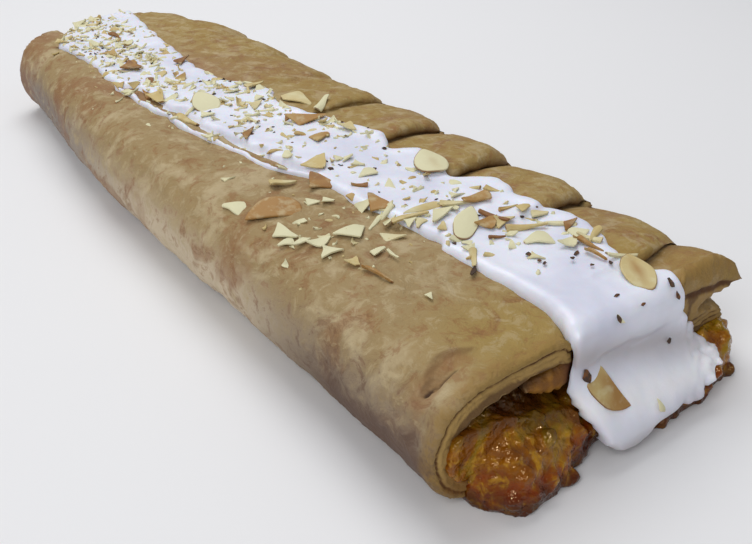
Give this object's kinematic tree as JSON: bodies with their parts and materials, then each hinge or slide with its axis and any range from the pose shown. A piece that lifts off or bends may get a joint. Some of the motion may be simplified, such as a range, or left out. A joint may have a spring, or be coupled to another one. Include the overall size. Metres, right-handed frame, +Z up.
{
  "type": "danish pastry bar",
  "caption": "Long filled pastry bar with a plain rounded flap on one side, overlapping cut tabs on the other, an iced seam running down over one end, and sliced almonds.",
  "frame": {"origin": "middle of the footprint, on the surface that the bar rests on", "axes": "+Y along the bar, away from the end that the icing runs down over; +X towards the cut tabs; +Z up"},
  "size_m": [0.1178, 0.3476, 0.0414],
  "materials": {
    "crust": "baked laminated dough, dry and satin, tan with browner blisters",
    "filling": "wet glossy fruit and custard, amber with dark baked edges",
    "icing": "set sugar icing, smooth with a soft sheen",
    "almond": "dry sliced almond, cream with thin brown skin at its rim"
  },
  "bodies": {
    "root": {"pastry": "crust", "filling": "filling", "icing": "icing"}
  },
  "joints": []
}
